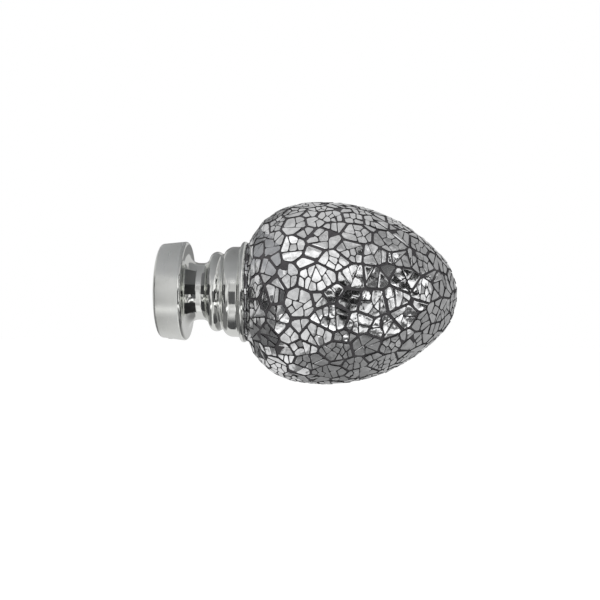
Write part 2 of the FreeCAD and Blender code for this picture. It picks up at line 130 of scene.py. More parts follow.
# The grout, in millimetres
GROUT_RISE = 0.15
GROUT_ROUGH = 0.07
GROUT_GRAIN = 1.6
GROUT_CUTS = 2
TIP_KEPT = 4.0
BEAD_RADIUS = 16.85
BEAD_OUT = 0.5
BEAD_SIZE = 0.48
BEAD_ROUND = 10
BEAD_STEPS = 160
BEAD_WANDER = 0.006
BEAD_WAVE = 9.0

# The neck's cap, in millimetres: its front, the round there, and a radius between socket and outside
CAP_FRONT = 2.1
CAP_ROUND = 1.0
CAP_INSIDE = 15.5
CAP_FADE = 0.2

# The stage, in metres
STAGE_MIDDLE = Vector((0.045, 0.0, 0.0))
FLOOR_DROP = 0.22
FLOOR_SIZE = 3.0
FLOOR_CELLS = 8
FLOOR_TONE = 0.82
FLOOR_GLOW = 0.3
MATT = 0.9
WORLD_LEVEL = 0.88
KEY_PLACE = Vector((-0.25, -0.45, 0.6))
KEY_SIZE = 0.5
KEY_POWER = 2.4
TENT_RADIUS = 0.2
TENT_DIVISIONS = 5

# The tent's broad light: levels, and the range of places that each pair of levels spans
CEILING = (0.48, 0.57)
CEILING_SPAN = (-0.70, 0.06)
GROUND = (0.24, 0.58)
GROUND_SPAN = (-60.0, -8.0)
HORIZON = (2.0, 24.0)
LEFT_SIDE = (0.58, 0.64)
LEFT_SPAN = (-74.0, -20.0)
PATCHES = (0.02, 1.2)
PATCH_SPAN = (0.34, 0.72)
PATCHES_ACROSS = 6.0
MOTTLE = (0.6, 1.4)
MOTTLE_SPAN = (0.3, 0.7)
MOTTLE_SIZE = 0.18 * TENT_RADIUS
MOTTLE_TURN = (45.0, 40.0, 15.0)
HAZE = (0.70, 1.30)
HAZE_SPAN = (0.35, 0.65)
HAZE_SIZE = 0.26 * TENT_RADIUS
HAZE_TURN = (-54.0, 30.0, 14.0)

# The tent's panels, each laid over those before it: a name, a level, and the middle, reach and soft edge
# in each direction that limits it. Turn and lift are in degrees, the others shares of the tent's radius.
# A panel with no level here is uneven, with levels from the list above.
REAR = (1.0, 0.35, 0.2)
TENT_PANELS = (
    ("left_side", None, {"turn": (-46.0, 22.0, 18.0), "lift": (4.0, 20.0, 18.0)}),
    ("high_front", 1.1, {"turn": (-14.0, 30.0, 14.0), "lift": (33.0, 11.0, 6.0)}),
    ("low_left", 0.18, {"across": (-0.80, 0.16, 0.06), "upward": (-0.62, 0.26, 0.12)}),
    ("rear_high", 0.24, {"across": (-0.34, 0.12, 0.06), "away": REAR, "upward": (0.6, 0.5, 0.2)}),
    ("rear_middle", 0.24, {"across": (-0.05, 0.11, 0.05), "away": REAR, "upward": (0.10, 0.09, 0.05)}),
    ("far_left", 0.62, {"across": (-0.86, 0.22, 0.14), "upward": (0.5, 0.45, 0.15)}),
    ("rear_low", 0.60, {"across": (-0.30, 0.14, 0.08), "away": REAR, "upward": (-0.6, 0.5, 0.2)}),
    ("far_right", 0.37, {"turn": (105.0, 24.0, 14.0), "lift": (0.0, 50.0, 20.0)}),
    ("under_neck", 0.70, {"across": (-0.37, 0.16, 0.05), "upward": (-0.75, 0.30, 0.15)}),
    ("low_front", 0.74, {"turn": (-16.0, 12.0, 6.0), "lift": (-50.0, 11.0, 4.0)}),
    ("dark_right", 0.10, {"turn": (46.0, 32.0, 6.0), "lift": (-20.0, 22.0, 6.0)}),
    ("patches", None, {"turn": (44.0, 30.0, 8.0), "lift": (10.0, 26.0, 8.0)}),
    ("right_window", 0.85, {"turn": (47.0, 12.0, 6.0), "lift": (-15.0, 5.0, 4.0)}),
    ("front_strip", 1.1, {"turn": (-3.0, 5.0, 3.0), "lift": (12.0, 13.0, 6.0)}),
    ("front_window", 1.0, {"turn": (9.0, 9.0, 4.0), "lift": (22.0, 14.0, 5.0)}),
    ("dark_spot", 0.01, {"turn": (12.0, 9.0, 3.0), "lift": (-8.0, 11.0, 3.0)}),
    ("left_edge", 1.1, {"turn": (-42.0, 16.0, 6.0), "lift": (-34.0, 2.5, 3.0)}),
    ("right_edge", 1.2, {"turn": (38.0, 36.0, 6.0), "lift": (-34.0, 2.5, 3.0)}),
)

# Cards near the neck, in millimetres: two opposite corners, a level and, for level cards, the width over
# which the front edge fades in
UPRIGHT_CARDS = {
    "front_flag": ((2.0, -50.0, -26.0), (26.0, -50.0, 0.0), 0.15),
    "side_flag": ((-17.0, -20.0, -18.0), (-17.0, -35.0, 10.0), 0.05),
}
LEVEL_CARDS = {
    "upper_flag": ((-22.0, -100.0, 27.0), (21.5, 16.0, 27.0), 0.53, 66.0),
    "lower_flag": ((9.0, -27.0, -27.0), (24.0, -4.0, -27.0), 0.10, 15.0),
}
CARD_TINT = (0.99, 1.0, 1.03)
CARD_GLOSS = 0.1

# Fan-shaped cards close round the front of the waist: for each rim a place along the axis and a radius, in
# millimetres, and for each fan two angles in degrees and a level
FAN_NEAR = (5.9, 10.7)
FAN_FAR = (5.0, 16.0)
FAN_STEPS = 12
FAN_SPANS = ((-56.0, -26.0, 0.08), (-8.0, 14.0, 0.08), (14.0, 52.0, 0.3))

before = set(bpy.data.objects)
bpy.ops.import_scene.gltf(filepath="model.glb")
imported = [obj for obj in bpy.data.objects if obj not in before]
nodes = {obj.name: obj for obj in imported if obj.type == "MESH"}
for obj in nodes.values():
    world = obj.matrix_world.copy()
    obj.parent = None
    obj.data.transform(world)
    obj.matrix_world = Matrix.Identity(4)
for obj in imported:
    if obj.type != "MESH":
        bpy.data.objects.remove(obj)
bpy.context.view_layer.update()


# Shader helpers

def new_material(name):
    material = bpy.data.materials.new(name)
    material.use_nodes = True
    return material, material.node_tree, material.node_tree.nodes["Principled BSDF"]


def feed(tree, value, socket):
    """Links a socket to the input, or sets a plain number on it."""
    if isinstance(value, (int, float)):
        socket.default_value = value
    else:
        tree.links.new(value, socket)


def calc(tree, operation, first, second=0.0):
    made = tree.nodes.new("ShaderNodeMath")
    made.operation = operation
    feed(tree, first, made.inputs[0])
    feed(tree, second, made.inputs[1])
    return made.outputs[0]


def spread(tree, value, low, high, to_low, to_high, smooth=False):
    """Carries the range low to high over to another range, and clamps it there."""
    made = tree.nodes.new("ShaderNodeMapRange")
    made.interpolation_type = "SMOOTHSTEP" if smooth else "LINEAR"
    feed(tree, value, made.inputs["Value"])
    made.inputs["From Min"].default_value = low
    made.inputs["From Max"].default_value = high
    made.inputs["To Min"].default_value = to_low
    made.inputs["To Max"].default_value = to_high
    return made.outputs["Result"]


def blend_values(tree, share, first, second):
    made = tree.nodes.new("ShaderNodeMix")
    made.data_type = "FLOAT"
    feed(tree, share, made.inputs[0])
    feed(tree, first, made.inputs[2])
    feed(tree, second, made.inputs[3])
    return made.outputs[0]


def ramp(tree, value, span, colours):
    """A ramp from the first colour, at the start of the value's span, to the second, at its end."""
    made = tree.nodes.new("ShaderNodeValToRGB")
    for element, place, colour in zip(made.color_ramp.elements, span, colours):
        element.position = place
        element.color = (*colour, 1.0)
    tree.links.new(value, made.inputs["Fac"])
    return made.outputs["Color"]


def object_place(tree):
    return tree.nodes.new("ShaderNodeTexCoord").outputs["Object"]


def speckle(tree, place, scale, detail=3.0, rough=0.55):
    """Noise with its size given in metres."""
    made = tree.nodes.new("ShaderNodeTexNoise")
    made.inputs["Scale"].default_value = 1.0 / scale
    made.inputs["Detail"].default_value = detail
    made.inputs["Roughness"].default_value = rough
    tree.links.new(place, made.inputs["Vector"])
    return made.outputs["Fac"]


def stretched(tree, place, x, y, z):
    """The place with each of its parts scaled."""
    made = tree.nodes.new("ShaderNodeMapping")
    made.inputs["Scale"].default_value = (x, y, z)
    tree.links.new(place, made.inputs["Vector"])
    return made.outputs["Vector"]


def bump(tree, height, depth, shader):
    made = tree.nodes.new("ShaderNodeBump")
    made.inputs["Strength"].default_value = 1.0
    made.inputs["Distance"].default_value = depth
    tree.links.new(height, made.inputs["Height"])
    tree.links.new(made.outputs["Normal"], shader.inputs["Normal"])


# Materials

def chrome_material():
    """Polished chrome, with a turned satin band on the outside of the cap and a dull socket."""
    material, tree, shader = new_material("chrome")
    place = object_place(tree)
    parts = tree.nodes.new("ShaderNodeSeparateXYZ")
    tree.links.new(place, parts.inputs[0])
    along = parts.outputs["X"]
    across = calc(tree, "MULTIPLY", parts.outputs["Y"], parts.outputs["Y"])
    upward = calc(tree, "MULTIPLY", parts.outputs["Z"], parts.outputs["Z"])
    radius = calc(tree, "SQRT", calc(tree, "ADD", across, upward))
    edge = (CAP_FRONT - CAP_ROUND) * MM
    behind = spread(tree, along, edge - CAP_FADE * MM, edge + CAP_FADE / 2.0 * MM, 1.0, 0.0, smooth=True)
    outside = spread(tree, radius, CAP_INSIDE * MM, (CAP_INSIDE + CAP_FADE) * MM, 0.0, 1.0)
    satin = calc(tree, "MULTIPLY", behind, outside)
    socket = calc(tree, "MULTIPLY", behind, calc(tree, "SUBTRACT", 1.0, outside))
    drawn_out = stretched(tree, place, 1.0, GROOVE_STRETCH, GROOVE_STRETCH)
    rings = speckle(tree, drawn_out, GROOVE_PITCH * MM, detail=2.0)
    smudge = speckle(tree, place, SMUDGE_SIZE * MM, detail=4.0, rough=0.6)
    polished = spread(tree, smudge, *SMUDGE_SPAN, *CHROME_ROUGH)
    brushed = spread(tree, rings, *NOISE_SPAN, *SATIN_ROUGH)
    finish = blend_values(tree, satin, polished, brushed)
    finish = blend_values(tree, socket, finish, SOCKET_ROUGH)
    tree.links.new(finish, shader.inputs["Roughness"])
    colour = ramp(tree, smudge, NOISE_SPAN, CHROME_COLOURS)
    tree.links.new(colour, shader.inputs["Base Color"])
    shader.inputs["Metallic"].default_value = 1.0
    grooves = calc(tree, "MULTIPLY", rings, satin)
    bump(tree, grooves, GROOVE_DEPTH * MM, shader)
    return material


def steel_material():
    material, tree, shader = new_material("screw_steel")
    place = object_place(tree)
    grain = speckle(tree, place, STEEL_SIZE * MM, detail=4.0, rough=0.6)
    colour = ramp(tree, grain, NOISE_SPAN, STEEL_COLOURS)
    tree.links.new(colour, shader.inputs["Base Color"])
    tree.links.new(spread(tree, grain, *NOISE_SPAN, *STEEL_ROUGH), shader.inputs["Roughness"])
    shader.inputs["Metallic"].default_value = 1.0
    bump(tree, grain, STEEL_DEPTH * MM, shader)
    return material


def grout_material():
    material, tree, shader = new_material("grout")
    place = object_place(tree)
    cloud = speckle(tree, place, CLOUD_SIZE * MM, detail=4.0, rough=0.6)
    sand = speckle(tree, place, SAND_SIZE * MM, detail=3.0, rough=0.65)
    both = blend_values(tree, 0.5, cloud, sand)
    colour = ramp(tree, both, SAND_SPAN, GROUT_COLOURS)
    tree.links.new(colour, shader.inputs["Base Color"])
    tree.links.new(spread(tree, sand, *NOISE_SPAN, *GROUT_FINISH), shader.inputs["Roughness"])
    shader.inputs["Specular IOR Level"].default_value = GROUT_GLOSS
    bump(tree, sand, SAND_DEPTH * MM, shader)
    return material


def mirror_material():
    """Silvered glass: each shard has its own tone, with a cloudy back and slightly wavy glass."""
    material, tree, shader = new_material("mirror_glass")
    place = object_place(tree)
    tone = tree.nodes.new("ShaderNodeAttribute")
    tone.attribute_name = "tone"
    cloud = speckle(tree, place, VEIL_SIZE * MM, detail=4.0, rough=0.62)
    veil = spread(tree, cloud, *VEIL_SPAN, *MIRROR_VEIL)
    level = calc(tree, "ADD", tone.outputs["Fac"], veil)
    colour = ramp(tree, level, (0.0, 1.0), MIRROR_COLOURS)
    tree.links.new(colour, shader.inputs["Base Color"])
    haziness = spread(tree, cloud, *NOISE_SPAN, *reversed(MIRROR_ROUGH))
    tree.links.new(haziness, shader.inputs["Roughness"])
    shader.inputs["Metallic"].default_value = 1.0
    wave = speckle(tree, place, GLASS_SIZE * MM, detail=1.0, rough=0.4)
    bump(tree, wave, GLASS_DEPTH * MM, shader)
    return material


# Polygons on a chip's own plane

class Flat:
    """The plane of one chip's outer face: across it, along it round the egg, and a height over it."""

    def __init__(self, corners, normal):
        self.middle = sum(corners, Vector()) / len(corners)
        self.normal = normal
        around = POLE_AXIS.cross(normal)
        if around.length < TIP_SLOPE:
            around = normal.orthogonal()
        self.along = around.normalized()
        self.across = self.along.cross(normal)

    def flatten(self, point):
        from_middle = point - self.middle
        return Vector((from_middle.dot(self.across), from_middle.dot(self.along)))

    def place(self, point, height):
        return self.middle + self.across * point.x + self.along * point.y + self.normal * height


def area_of(polygon):
    total = 0.0
    for here, after in zip(polygon, polygon[1:] + polygon[:1]):
        total += here.x * after.y - here.y * after.x
    return total / 2.0


def middle_of(polygon):
    return sum(polygon, Vector((0.0, 0.0))) / len(polygon)


def keep_side(polygon, point, inward):
    """The part of a convex polygon on the side of a line that inward points to."""
    kept = []
    for here, after in zip(polygon, polygon[1:] + polygon[:1]):
        depth = (here - point).dot(inward)
        depth_after = (after - point).dot(inward)
        if depth >= 0.0:
            kept.append(here)
        if depth * depth_after < 0.0:
            kept.append(here.lerp(after, depth / (depth - depth_after)))
    return kept


def inset(polygon, distance):
    """A convex polygon, running anticlockwise, with every side moved inwards."""
    result = polygon
    for here, after in zip(polygon, polygon[1:] + polygon[:1]):
        side = after - here
        if side.length < NO_LENGTH:
            continue
        inward = Vector((-side.y, side.x)).normalized()
        result = keep_side(result, here + inward * distance, inward)
        if len(result) < 3:
            return []
    return without_slivers(result, distance * SLIVER_SHARE)


def without_slivers(polygon, shortest):
    """The polygon without the corners that lie too near the one before."""
    kept = []
    for corner in polygon:
        if not kept or (corner - kept[-1]).length > shortest:
            kept.append(corner)
    while len(kept) > 3 and (kept[0] - kept[-1]).length <= shortest:
        kept.pop()
    return kept if len(kept) >= 3 else []


def break_up(polygon, rng):
    """Breaks a chip into shards with thin cracks between them, often longer round the egg."""
    stretch = rng.uniform(*STRETCH)
    count = int(area_of(polygon) / rng.uniform(*SHARD_AREA))
    seeds = points_inside(polygon, count, SEED_MARGIN, 2.0 * SEED_MARGIN, rng)
    if len(seeds) < 2:
        return [polygon]
    for _ in range(EVENING_ROUNDS):
        seeds = [middle_of(cell) for cell in nearest_cells(polygon, seeds, stretch, 0.0)]
    cells = nearest_cells(polygon, seeds, stretch, rng.uniform(*CRACK) / 2.0)
    shards = [without_slivers(cell, SMALLEST_SIDE) for cell in cells]
    return [shard for shard in shards if shard]


def nearest_cells(polygon, seeds, stretch, gap):
    """The part of the polygon nearest to each seed, where the second coordinate counts for less."""
    cells = []
    for seed in seeds:
        cell = polygon
        for other in seeds:
            if other is not seed:
                inward = Vector((seed.x - other.x, (seed.y - other.y) / stretch ** 2)).normalized()
                cell = keep_side(cell, seed.lerp(other, 0.5) + inward * gap, inward)
        cells.append(cell)
    return cells


def grown(polygon, distance):
    """The polygon with every corner moved away from its middle."""
    middle = middle_of(polygon)
    return [corner + (corner - middle).normalized() * distance for corner in polygon]


def with_cut_corners(polygon, rng):
    """The polygon with every corner broken off by an uneven amount."""
    cut = []
    for i, corner in enumerate(polygon):
        for neighbour in (polygon[i - 1], polygon[(i + 1) % len(polygon)]):
            side = neighbour - corner
            length = min(side.length * rng.uniform(*CORNER_SHARE), LONGEST_CUT)
            cut.append(corner + side.normalized() * length)
    return cut


def points_inside(polygon, count, margin, spacing, rng):
    """Up to count points inside a convex polygon, clear of its sides and of one another."""
    low_x = min(p.x for p in polygon)
    high_x = max(p.x for p in polygon)
    low_y = min(p.y for p in polygon)
    high_y = max(p.y for p in polygon)
    sides = list(zip(polygon, polygon[1:] + polygon[:1]))
    found = []
    for _ in range(count * TRIES_PER_POINT):
        point = Vector((rng.uniform(low_x, high_x), rng.uniform(low_y, high_y)))
        clear = True
        for here, after in sides:
            side = (after - here).normalized()
            if side.cross(point - here) < margin:
                clear = False
        if clear and all((point - other).length > spacing for other in found):
            found.append(point)
        if len(found) >= count:
            break
    return found


# The mosaic

def islands_of(mesh):
    """The separate pieces of a mesh, each a list of faces."""
    seen = set()
    for start in mesh.faces:
        if start in seen:
            continue
        seen.add(start)
        island = [start]
        for face in island:
            for edge in face.edges:
                for neighbour in edge.link_faces:
                    if neighbour not in seen:
                        seen.add(neighbour)
                        island.append(neighbour)
        yield island


def chip_faces(node):
    """The outer face of every chip, as corners in order and a normal, in millimetres."""
    mesh = bmesh.new()
    mesh.from_mesh(node.data)
    bmesh.ops.scale(mesh, vec=(1.0 / MM, 1.0 / MM, 1.0 / MM), verts=mesh.verts)
    bmesh.ops.remove_doubles(mesh, verts=mesh.verts, dist=SAME_POINT)
    mesh.normal_update()
    found = []
    for island in islands_of(mesh):
        outer = []
        for face in island:
            outward = (face.calc_center_median() - EGG_MIDDLE).normalized()
            if face.normal.dot(outward) > OUTWARD:
                outer.append(face)
        corners = list({v for face in outer for v in face.verts})
        normal = sum((f.normal * f.calc_area() for f in outer), Vector()).normalized()
        flat = Flat([v.co for v in corners], normal)
        corners.sort(key=lambda v: math.atan2(flat.flatten(v.co).y, flat.flatten(v.co).x))
        found.append(([v.co.copy() for v in corners], normal.copy()))
    mesh.free()
    found.sort(key=lambda chip: tuple(round(c, 1) for c in sum(chip[0], Vector()) / len(chip[0])))
    return found


class Pieces:
    """Points and faces of many pieces, gathered for one mesh, with a tone for each face."""

    def __init__(self):
        self.points = []
        self.faces = []
        self.tones = []

    def add_points(self, points):
        first = len(self.points)
        self.points += [p * MM for p in points]
        return list(range(first, first + len(points)))

    def add_face(self, corners, tone):
        self.faces.append(corners)
        self.tones.append(tone)

    def add_band(self, lower, upper, tone):
        for i in range(len(lower)):
            j = (i + 1) % len(lower)
            self.add_face([lower[i], lower[j], upper[j], upper[i]], tone)

    def make_object(self, name):
        mesh = bpy.data.meshes.new(name)
        mesh.from_pydata(self.points, [], self.faces)
        tone = mesh.attributes.new("tone", "FLOAT", "FACE")
        tone.data.foreach_set("value", self.tones)
        mesh.shade_smooth()
        mesh.set_sharp_from_angle(angle=SHARP_ANGLE)
        mesh.update()
        made = bpy.data.objects.new(name, mesh)
        bpy.context.scene.collection.objects.link(made)
        return made


def add_shard(pieces, flat, polygon, depth, wave, tone, rng, thickness=SHARD_DEPTH):
    """One closed shard of mirror: a bevelled plate whose face is broken into small facets."""
    inner = inset(polygon, BEVEL)
    if not inner:
        return
    middle = middle_of(polygon)
    lean = Vector((rng.gauss(0.0, LEAN), rng.gauss(0.0, LEAN)))
    dome = rng.uniform(*DOME)
    start = Vector((rng.uniform(0.0, NOISE_REACH), rng.uniform(0.0, NOISE_REACH), 0.0))

    def tilt(point):
        away = point - middle
        return away.dot(lean) - dome * away.length_squared

    top = max(tilt(p) for p in inner + [middle])

    def height(point):
        swell = noise.noise(point.to_3d() / wave + start)
        return tilt(point) - top - depth * (0.5 + 0.5 * swell)

    count = int(area_of(inner) / DENT_SPACING ** 2)
    dents = points_inside(inner, count, DENT_MARGIN, DENT_APART, rng)
    ring = [list(range(len(inner)))]
    found = delaunay_2d_cdt(inner + dents, [], ring, ONLY_INSIDE, TRIANGLE_NEAR)
    points, _, triangles, point_sources, _, _ = found
    face_points = pieces.add_points([flat.place(p, height(p)) for p in points])
    place_of = {}
    for i, sources in enumerate(point_sources):
        for source in sources:
            place_of[source] = face_points[i]
    for triangle in triangles:
        pieces.add_face([face_points[i] for i in triangle], tone)
    rim = [place_of[i] for i in range(len(inner))]
    nearest = []
    for corner in polygon:
        nearest.append(min(range(len(inner)), key=lambda i: (inner[i] - corner).length))
    edge = pieces.add_points([flat.place(p, height(p) - BEVEL_DROP) for p in polygon])
    foot = pieces.add_points([flat.place(p, -thickness) for p in polygon])
    for i in range(len(polygon)):
        j = (i + 1) % len(polygon)
        chain = [rim[nearest[j]]]
        step = nearest[j]
        while step != nearest[i]:
            step = (step - 1) % len(inner)
            chain.append(rim[step])
        pieces.add_face([edge[i], edge[j]] + chain, EDGE_TONE)
    pieces.add_band(foot, edge, EDGE_TONE)
    pieces.add_face(foot[::-1], EDGE_TONE)


def add_foot_row(pieces, rng):
    """Small shards set round the egg's foot, next to the flange."""
    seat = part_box("egg_body")[0].x / MM
    edges = []
    for i in range(FOOT_COUNT):
        edges.append(math.tau * (i + rng.uniform(-FOOT_WANDER, FOOT_WANDER)) / FOOT_COUNT)
    for here, after in zip(edges, edges[1:] + [edges[0] + math.tau]):
        gap = FOOT_GAP / FOOT_BACK[1]
        corners = []
        for (x, radius), angle in (
            (FOOT_BACK, here),
            (FOOT_BACK, after - gap),
            (FOOT_FRONT, after - gap),
            (FOOT_FRONT, here),
        ):
            corners.append(Vector((seat + x, radius * math.cos(angle), radius * math.sin(angle))))
        normal = (corners[1] - corners[0]).cross(corners[3] - corners[0]).normalized()
        flat = Flat(corners, normal)
        polygon = with_cut_corners([flat.flatten(c) for c in corners], rng)
        tone = rng.uniform(*FOOT_TONE)
        add_shard(pieces, flat, polygon, RIPPLE_DEPTH, RIPPLE_WAVE, tone, rng, FOOT_DEPTH)


def make_mosaic():
    """The mirror mosaic: every chip broken into shards, and the row round the egg's foot."""
    rng = random.Random(MOSAIC_SEED)
    pieces = Pieces()
    for corners, normal in chip_faces(nodes["mirror_chips"]):
        flat = Flat(corners, normal)
        polygon = grown([flat.flatten(c) for c in corners], GROWTH)
        polygon = without_slivers(polygon, SMALLEST_SIDE)
        chip_tone = rng.uniform(*CHIP_TONE)
        depth, wave = RIPPLE_DEPTH, RIPPLE_WAVE
        if rng.random() < CRINKLED_SHARE:
            depth, wave = CRINKLE_DEPTH, CRINKLE_WAVE
        for shard in break_up(polygon, rng):
            lost = rng.random() < LOST_SHARE and area_of(shard) < LOST_AREA
            shard = with_cut_corners(shard, rng)
            if not lost:
                tone = chip_tone + rng.uniform(-TONE_SPREAD, TONE_SPREAD)
                add_shard(pieces, flat, shard, depth, wave, tone, rng)
    add_foot_row(pieces, rng)
    mosaic = pieces.make_object("mirror_mosaic")
    mosaic.data.materials.append(mirror_material())
    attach(mosaic, "root")
    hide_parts("mirror_chips")


# The grout between the shards

def add_foot_bead(seat):
    """A thin bead of grout in the groove between the egg's foot and the neck."""
    mesh = bmesh.new()
    rings = []
    for i in range(BEAD_ROUND):
        turn = math.tau * i / BEAD_ROUND
        x = seat + (BEAD_OUT + BEAD_SIZE * math.cos(turn)) * MM
        radius = (BEAD_RADIUS + BEAD_SIZE * math.sin(turn)) * MM
        ring = []
        for j in range(BEAD_STEPS):
            angle = math.tau * j / BEAD_STEPS
            out = Vector((0.0, math.cos(angle), math.sin(angle)))
            wander = 1.0 + BEAD_WANDER * noise.noise(Vector((out.y, out.z, 0.0)) * BEAD_WAVE)
            ring.append(mesh.verts.new((x, radius * wander * out.y, radius * wander * out.z)))
        rings.append(ring)
    for ring, after in zip(rings, rings[1:] + rings[:1]):
        for j in range(BEAD_STEPS):
            k = (j + 1) % BEAD_STEPS
            mesh.faces.new((ring[j], ring[k], after[k], after[j]))
    bmesh.ops.recalc_face_normals(mesh, faces=mesh.faces)
    shape = bpy.data.meshes.new("grout_bead")
    mesh.to_mesh(shape)
    mesh.free()
    shape.shade_smooth()
    shape.materials.append(grout_material())
    bead = bpy.data.objects.new("grout_bead", shape)
    bpy.context.scene.collection.objects.link(bead)
    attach(bead, "root")


def make_grout():
    """The egg under the mosaic, raised between the shards and slightly uneven."""
    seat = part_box("egg_body")[0].x
    mesh = bmesh.new()
    mesh.from_mesh(nodes["egg_body"].data)
    bmesh.ops.remove_doubles(mesh, verts=mesh.verts, dist=SAME_POINT * MM)
    flats = [e for e in mesh.edges if all(v.co.x > seat + SAME_POINT * MM for v in e.verts)]
    bmesh.ops.subdivide_edges(mesh, edges=flats, cuts=GROUT_CUTS, use_grid_fill=True)
    bmesh.ops.triangulate(mesh, faces=mesh.faces)
    mesh.normal_update()
    rises = {}
    for vert in mesh.verts:
        radius = math.hypot(vert.co.y, vert.co.z)
        if vert.co.x > seat + SAME_POINT * MM and radius > TIP_KEPT * MM:
            wander = noise.noise(vert.co / (GROUT_GRAIN * MM))
            rises[vert] = vert.normal * (GROUT_RISE + GROUT_ROUGH * wander) * MM
    for vert, rise in rises.items():
        vert.co += rise
    shape = bpy.data.meshes.new("grout_egg")
    mesh.to_mesh(shape)
    mesh.free()
    grout = bpy.data.objects.new("grout_egg", shape)
    bpy.context.scene.collection.objects.link(grout)
    shape.materials.clear()
    shape.materials.append(grout_material())
    add_foot_bead(seat)
    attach(grout, "root")
    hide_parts("egg_body")


# The neck and its screws

def dress_metal():
    """Gives the chrome and steel nodes their finish."""
    finishes = {
        "neck_casting": chrome_material(),
        "fixing_screw": steel_material(),
    }
    finishes["grub_screw"] = finishes["fixing_screw"]
    for name, material in finishes.items():
        nodes[name].data.materials.clear()
        nodes[name].data.materials.append(material)


# The stage

def make_camera():
    lens = bpy.data.cameras.new("camera")
    lens.lens = CAMERA_LENS
    lens.sensor_width = CAMERA_SENSOR
    lens.clip_start, lens.clip_end = CAMERA_CLIP
    camera = bpy.data.objects.new("camera", lens)
    facing = Matrix.Rotation(math.radians(90.0), 4, "X") @ Matrix.Rotation(CAMERA_ROLL, 4, "Z")
    camera.matrix_world = Matrix.Translation(CAMERA_PLACE) @ facing
    bpy.context.scene.collection.objects.link(camera)
    bpy.context.scene.camera = camera


def seen_ray(tree):
    """One for rays from the camera, reflections and refractions, and nothing for light."""
    path = tree.nodes.new("ShaderNodeLightPath")
    seen = calc(tree, "MAXIMUM", path.outputs["Is Camera Ray"], path.outputs["Is Glossy Ray"])
    return calc(tree, "MAXIMUM", seen, path.outputs["Is Transmission Ray"])


def make_world():
    world = bpy.data.worlds.new("studio")
    bpy.context.scene.world = world
    world.use_nodes = True
    tree = world.node_tree
    background = tree.nodes["Background"]
    background.inputs["Color"].default_value = (1.0, 1.0, 1.0, 1.0)
    strength = blend_values(tree, seen_ray(tree), WORLD_LEVEL, 1.0)
    tree.links.new(strength, background.inputs["Strength"])


def make_floor():
    """A pale floor that takes the shadow and shows as white where no shadow falls."""
    shape = bmesh.new()
    bmesh.ops.create_grid(shape, x_segments=FLOOR_CELLS, y_segments=FLOOR_CELLS, size=FLOOR_SIZE)
    mesh = bpy.data.meshes.new("floor")
    shape.to_mesh(mesh)
    shape.free()
    floor = bpy.data.objects.new("floor", mesh)
    floor.location = (0.0, 0.0, -FLOOR_DROP)
    bpy.context.scene.collection.objects.link(floor)
    material, tree, shader = new_material("floor")
    shader.inputs["Base Color"].default_value = (FLOOR_TONE, FLOOR_TONE, FLOOR_TONE, 1.0)
    shader.inputs["Roughness"].default_value = MATT
    shader.inputs["Specular IOR Level"].default_value = 0.0
    shader.inputs["Emission Color"].default_value = (1.0, 1.0, 1.0, 1.0)
    glow = calc(tree, "MULTIPLY", seen_ray(tree), FLOOR_GLOW)
    tree.links.new(glow, shader.inputs["Emission Strength"])
    mesh.materials.append(material)


def make_key_light():
    lamp = bpy.data.lights.new("key", "AREA")
    lamp.shape = "DISK"
    lamp.size = KEY_SIZE
    lamp.energy = KEY_POWER
    key = bpy.data.objects.new("key", lamp)
    key.location = KEY_PLACE
    aim = STAGE_MIDDLE - KEY_PLACE
    key.rotation_mode = "QUATERNION"
    key.rotation_quaternion = aim.to_track_quat("-Z", "Y")
    key.visible_glossy = False
    bpy.context.scene.collection.objects.link(key)


def panel(tree, under, level, *limits):
    """Lays a soft-edged panel over the light, within (value, middle, reach, soft edge) limits."""
    share = 1.0
    for value, middle, reach, soft in limits:
        off = calc(tree, "ABSOLUTE", calc(tree, "SUBTRACT", value, middle))
        cover = spread(tree, off, reach, reach + soft, 1.0, 0.0, smooth=True)
        share = calc(tree, "MULTIPLY", share, cover)
    return blend_values(tree, share, under, level)


def tent_places(tree, place):
    """A place on the tent, as shares of its radius and as a turn and a lift in degrees."""
    parts = tree.nodes.new("ShaderNodeSeparateXYZ")
    tree.links.new(place, parts.inputs[0])
    across = calc(tree, "DIVIDE", parts.outputs["X"], TENT_RADIUS)
    away = calc(tree, "DIVIDE", parts.outputs["Y"], TENT_RADIUS)
    upward = calc(tree, "DIVIDE", parts.outputs["Z"], TENT_RADIUS)
    turn = calc(tree, "DEGREES", calc(tree, "ARCTAN2", across, calc(tree, "MULTIPLY", away, -1.0)))
    lift = calc(tree, "DEGREES", calc(tree, "ARCSINE", upward))
    return {"across": across, "away": away, "upward": upward, "turn": turn, "lift": lift}


def tent_patches(tree, place):
    """A patchwork of light and dark."""
    cells = tree.nodes.new("ShaderNodeTexVoronoi")
    cells.feature = "F1"
    cells.inputs["Scale"].default_value = PATCHES_ACROSS / TENT_RADIUS
    tree.links.new(place, cells.inputs["Vector"])
    tones = tree.nodes.new("ShaderNodeSeparateColor")
    tree.links.new(cells.outputs["Color"], tones.inputs[0])
    return spread(tree, tones.outputs[0], *PATCH_SPAN, *PATCHES)


def tent_mottle(tree, place, turn):
    """Uneven light, finer to the right and broader to the left."""
    fine = spread(tree, speckle(tree, place, MOTTLE_SIZE, detail=2.0), *MOTTLE_SPAN, *MOTTLE)
    broad = spread(tree, speckle(tree, place, HAZE_SIZE, detail=1.0), *HAZE_SPAN, *HAZE)
    rightward = panel(tree, 0.0, 1.0, (turn, *MOTTLE_TURN))
    leftward = panel(tree, 0.0, 1.0, (turn, *HAZE_TURN))
    return blend_values(tree, leftward, blend_values(tree, rightward, 1.0, fine), broad)


